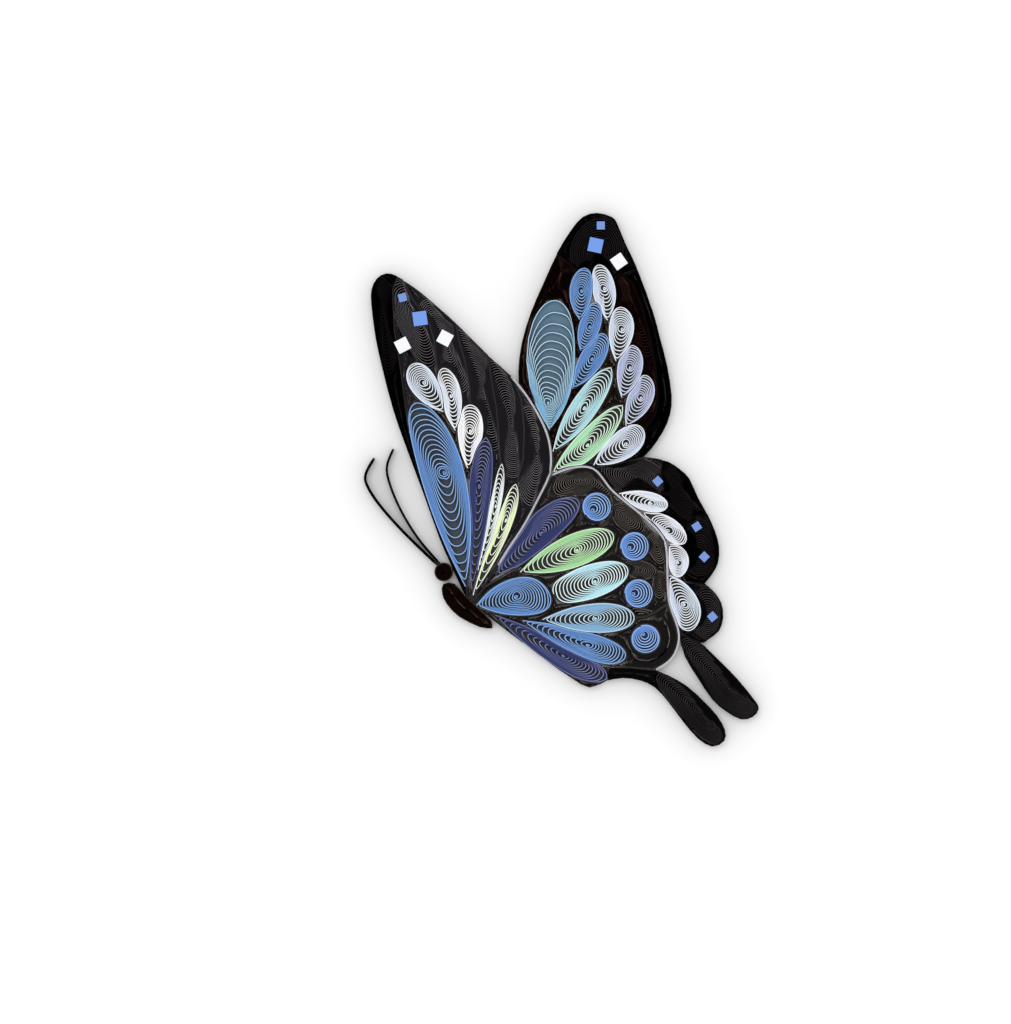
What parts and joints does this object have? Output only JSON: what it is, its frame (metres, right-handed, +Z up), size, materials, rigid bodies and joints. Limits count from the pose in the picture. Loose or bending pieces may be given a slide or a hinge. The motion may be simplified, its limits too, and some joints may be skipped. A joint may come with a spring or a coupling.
{
  "type": "quilled paper butterfly",
  "caption": "Flat butterfly of coiled paper strips on edge: black wings and tails set with blue, aqua, green and white teardrop coils, a head, a body and curled antennae.",
  "frame": {"origin": "middle of the butterfly's spread, on its underside", "axes": "+Z up out of the surface it lies on, +Y towards the tip of the right forewing, +X towards the right-hand hindwing"},
  "size_m": [0.068, 0.0917, 0.0033],
  "materials": {
    "aqua_paper": "matt quilling paper",
    "black_paper": "matt quilling paper",
    "blue_card": "smooth card",
    "blue_paper": "matt quilling paper",
    "bright_blue_paper": "matt quilling paper",
    "edging_paper": "matt quilling paper",
    "green_paper": "matt quilling paper",
    "grey_blue_paper": "matt quilling paper",
    "navy_paper": "matt quilling paper",
    "pale_blue_paper": "matt quilling paper",
    "white_card": "smooth card",
    "white_paper": "matt quilling paper"
  },
  "bodies": {
    "root": {"black_wedges": "black_paper", "body_coil": "black_paper", "head_coil": "black_paper", "large_blue_squares": "blue_card", "left_antenna": "black_paper", "left_forewing_aqua_coil": "aqua_paper", "left_forewing_back_black_coil": "black_paper", "left_forewing_blue_coil": "blue_paper", "left_forewing_edging": "edging_paper", "left_forewing_front_black_coil": "black_paper", "left_forewing_green_coil": "green_paper", "left_forewing_long_black_coil": "black_paper", "left_forewing_middle_black_coil": "black_paper", "left_forewing_navy_coil": "navy_paper", "left_forewing_shoulder_black_coil": "black_paper", "left_forewing_tip_black_coil": "black_paper", "left_forewing_white_coil_1": "white_paper", "left_forewing_white_coil_2": "white_paper", "left_forewing_white_coil_3": "white_paper", "left_hindwing_aqua_coil": "aqua_paper", "left_hindwing_blue_coil": "blue_paper", "left_hindwing_edging": "edging_paper", "left_hindwing_green_coil": "green_paper", "left_hindwing_long_blue_coil": "blue_paper", "left_hindwing_lower_black_coil": "black_paper", "left_hindwing_lower_navy_coil": "navy_paper", "left_hindwing_navy_coil": "navy_paper", "left_hindwing_pale_blue_coil": "pale_blue_paper", "left_hindwing_rim_black_coil": "black_paper", "left_hindwing_round_coils": "bright_blue_paper", "left_hindwing_top_black_coil": "black_paper", "left_tail_black_coil": "black_paper", "right_antenna": "black_paper", "right_forewing_aqua_coil": "aqua_paper", "right_forewing_blue_coil": "grey_blue_paper", "right_forewing_front_black_coil": "black_paper", "right_forewing_green_coil": "green_paper", "right_forewing_inner_black_coil": "black_paper", "right_forewing_rim_black_coil": "black_paper", "right_forewing_small_black_coil": "black_paper", "right_forewing_small_blue_coil_1": "blue_paper", "right_forewing_small_blue_coil_2": "blue_paper", "right_forewing_small_blue_coil_3": "blue_paper", "right_forewing_tip_black_coil": "black_paper", "right_forewing_white_coil_1": "white_paper", "right_forewing_white_coil_2": "white_paper", "right_forewing_white_coil_3": "white_paper", "right_forewing_white_coil_4": "white_paper", "right_forewing_white_coil_5": "white_paper", "right_hindwing_corner_black_coil": "black_paper", "right_hindwing_lobe_black_coil": "black_paper", "right_hindwing_lower_lobe_black_coil": "black_paper", "right_hindwing_top_black_coil": "black_paper", "right_hindwing_white_coil_1": "white_paper", "right_hindwing_white_coil_2": "white_paper", "right_hindwing_white_coil_3": "white_paper", "right_hindwing_white_coil_4": "white_paper", "right_tail_black_coil": "black_paper", "small_blue_squares": "blue_card", "white_squares": "white_card"}
  },
  "joints": []
}
